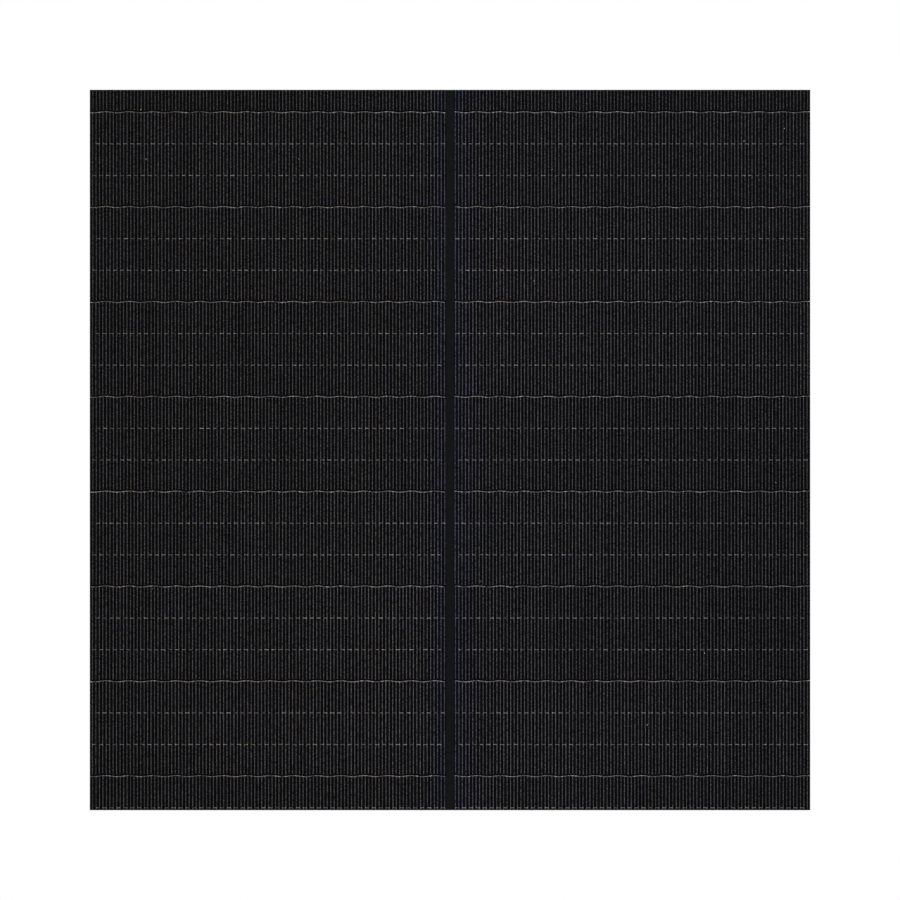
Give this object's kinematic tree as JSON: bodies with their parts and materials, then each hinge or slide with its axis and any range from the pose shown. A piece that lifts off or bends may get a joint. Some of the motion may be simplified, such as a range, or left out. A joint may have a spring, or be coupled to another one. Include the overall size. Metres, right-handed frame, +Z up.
{
  "type": "flexible solar sheet",
  "caption": "Square flexible thin-film solar sheet of shingled foil cells that bends between its rows, with a lidded junction box and cable glands on its back.",
  "frame": {"origin": "centre of the bonding face of the adhesive strip along the top edge of the back", "axes": "+X across the sheet, +Y out of its back, away from the light, +Z up towards the top edge; the cells face -Y"},
  "size_m": [0.3324, 0.0233, 0.3324],
  "materials": {
    "clear_film": "clear, finely textured",
    "foil_cell": "near-black thin film on steel foil",
    "back_sheet": "matt",
    "adhesive": "matt foam tape",
    "tinned_copper": "satin",
    "black_plastic": "fine spark texture",
    "seal_rubber": "matt",
    "grey_plastic": "satin",
    "orange_plastic": "satin",
    "steel": "satin",
    "spring_bronze": "satin",
    "diode_epoxy": "satin",
    "vent_plastic": "matt"
  },
  "bodies": {
    "top_row": {"front_laminate_1": "clear_film", "back_sheet_1": "back_sheet", "cell_left_0": "foil_cell", "cell_right_0": "foil_cell", "cell_left_1": "foil_cell", "cell_right_1": "foil_cell", "hang_strip_top": "adhesive", "lead_ribbon_plus": "tinned_copper", "lead_ribbon_minus": "tinned_copper", "box_pad": "adhesive", "box_base": "black_plastic", "pressure_vent": "vent_plastic", "lid_gasket": "seal_rubber", "hinge_pin": "steel", "terminal_block_plus": "grey_plastic", "terminal_block_minus": "grey_plastic", "contact_plus": "tinned_copper", "contact_minus": "tinned_copper", "clamp_spring_plus": "spring_bronze", "clamp_spring_minus": "spring_bronze", "bypass_diode": "diode_epoxy", "diode_lead_plus": "steel", "diode_lead_minus": "steel", "gland_body_plus": "black_plastic", "gland_body_minus": "black_plastic", "gland_seal_plus": "seal_rubber", "gland_seal_minus": "seal_rubber"},
    "row_2": {"front_laminate_2": "clear_film", "back_sheet_2": "back_sheet", "cell_left_2": "foil_cell", "cell_right_2": "foil_cell"},
    "row_3": {"front_laminate_3": "clear_film", "back_sheet_3": "back_sheet", "cell_left_3": "foil_cell", "cell_right_3": "foil_cell"},
    "row_4": {"front_laminate_4": "clear_film", "back_sheet_4": "back_sheet", "cell_left_4": "foil_cell", "cell_right_4": "foil_cell"},
    "row_5": {"front_laminate_5": "clear_film", "back_sheet_5": "back_sheet", "cell_left_5": "foil_cell", "cell_right_5": "foil_cell"},
    "row_6": {"front_laminate_6": "clear_film", "back_sheet_6": "back_sheet", "cell_left_6": "foil_cell", "cell_right_6": "foil_cell"},
    "row_7": {"front_laminate_7": "clear_film", "back_sheet_7": "back_sheet", "cell_left_7": "foil_cell", "cell_right_7": "foil_cell", "cell_left_8": "foil_cell", "cell_right_8": "foil_cell", "string_link_ribbon": "tinned_copper", "hang_strip_bottom": "adhesive"},
    "lid": {"box_lid": "black_plastic"},
    "lever_plus": {"terminal_lever_plus": "orange_plastic"},
    "lever_minus": {"terminal_lever_minus": "orange_plastic"},
    "nut_plus": {"gland_nut_plus": "black_plastic"},
    "nut_minus": {"gland_nut_minus": "black_plastic"}
  },
  "joints": [
    {"name": "bend_1", "type": "hinge", "parent": "top_row", "child": "row_2", "pos_m": [0, -0.00225, -0.04615], "axis": [1, 0, 0], "range_deg": [-20, 20], "stiffness_Nm_per_rad": 1.5},
    {"name": "bend_2", "type": "hinge", "parent": "row_2", "child": "row_3", "pos_m": [0, -0.00225, -0.0899], "axis": [1, 0, 0], "range_deg": [-20, 20], "stiffness_Nm_per_rad": 1.5},
    {"name": "bend_3", "type": "hinge", "parent": "row_3", "child": "row_4", "pos_m": [0, -0.00225, -0.13365], "axis": [1, 0, 0], "range_deg": [-20, 20], "stiffness_Nm_per_rad": 1.5},
    {"name": "bend_4", "type": "hinge", "parent": "row_4", "child": "row_5", "pos_m": [0, -0.00225, -0.1774], "axis": [1, 0, 0], "range_deg": [-20, 20], "stiffness_Nm_per_rad": 1.5},
    {"name": "bend_5", "type": "hinge", "parent": "row_5", "child": "row_6", "pos_m": [0, -0.00225, -0.22115], "axis": [1, 0, 0], "range_deg": [-20, 20], "stiffness_Nm_per_rad": 1.5},
    {"name": "bend_6", "type": "hinge", "parent": "row_6", "child": "row_7", "pos_m": [0, -0.00225, -0.2649], "axis": [1, 0, 0], "range_deg": [-20, 20], "stiffness_Nm_per_rad": 1.5},
    {"name": "lid_hinge", "type": "hinge", "parent": "top_row", "child": "lid", "pos_m": [0, 0.0173, -0.0075], "axis": [1, 0, 0], "range_deg": [0, 110]},
    {"name": "lever_plus_hinge", "type": "hinge", "parent": "top_row", "child": "lever_plus", "pos_m": [0.034, 0.0087, -0.0216], "axis": [1, 0, 0], "range_deg": [0, 50]},
    {"name": "nut_plus_turn", "type": "hinge", "parent": "top_row", "child": "nut_plus", "pos_m": [0.062, 0.0085, -0.0265], "axis": [1, 0, 0], "range_deg": [0, 360]},
    {"name": "lever_minus_hinge", "type": "hinge", "parent": "top_row", "child": "lever_minus", "pos_m": [-0.034, 0.0087, -0.0216], "axis": [1, 0, 0], "range_deg": [0, 50]},
    {"name": "nut_minus_turn", "type": "hinge", "parent": "top_row", "child": "nut_minus", "pos_m": [-0.062, 0.0085, -0.0265], "axis": [-1, 0, 0], "range_deg": [0, 360]}
  ]
}
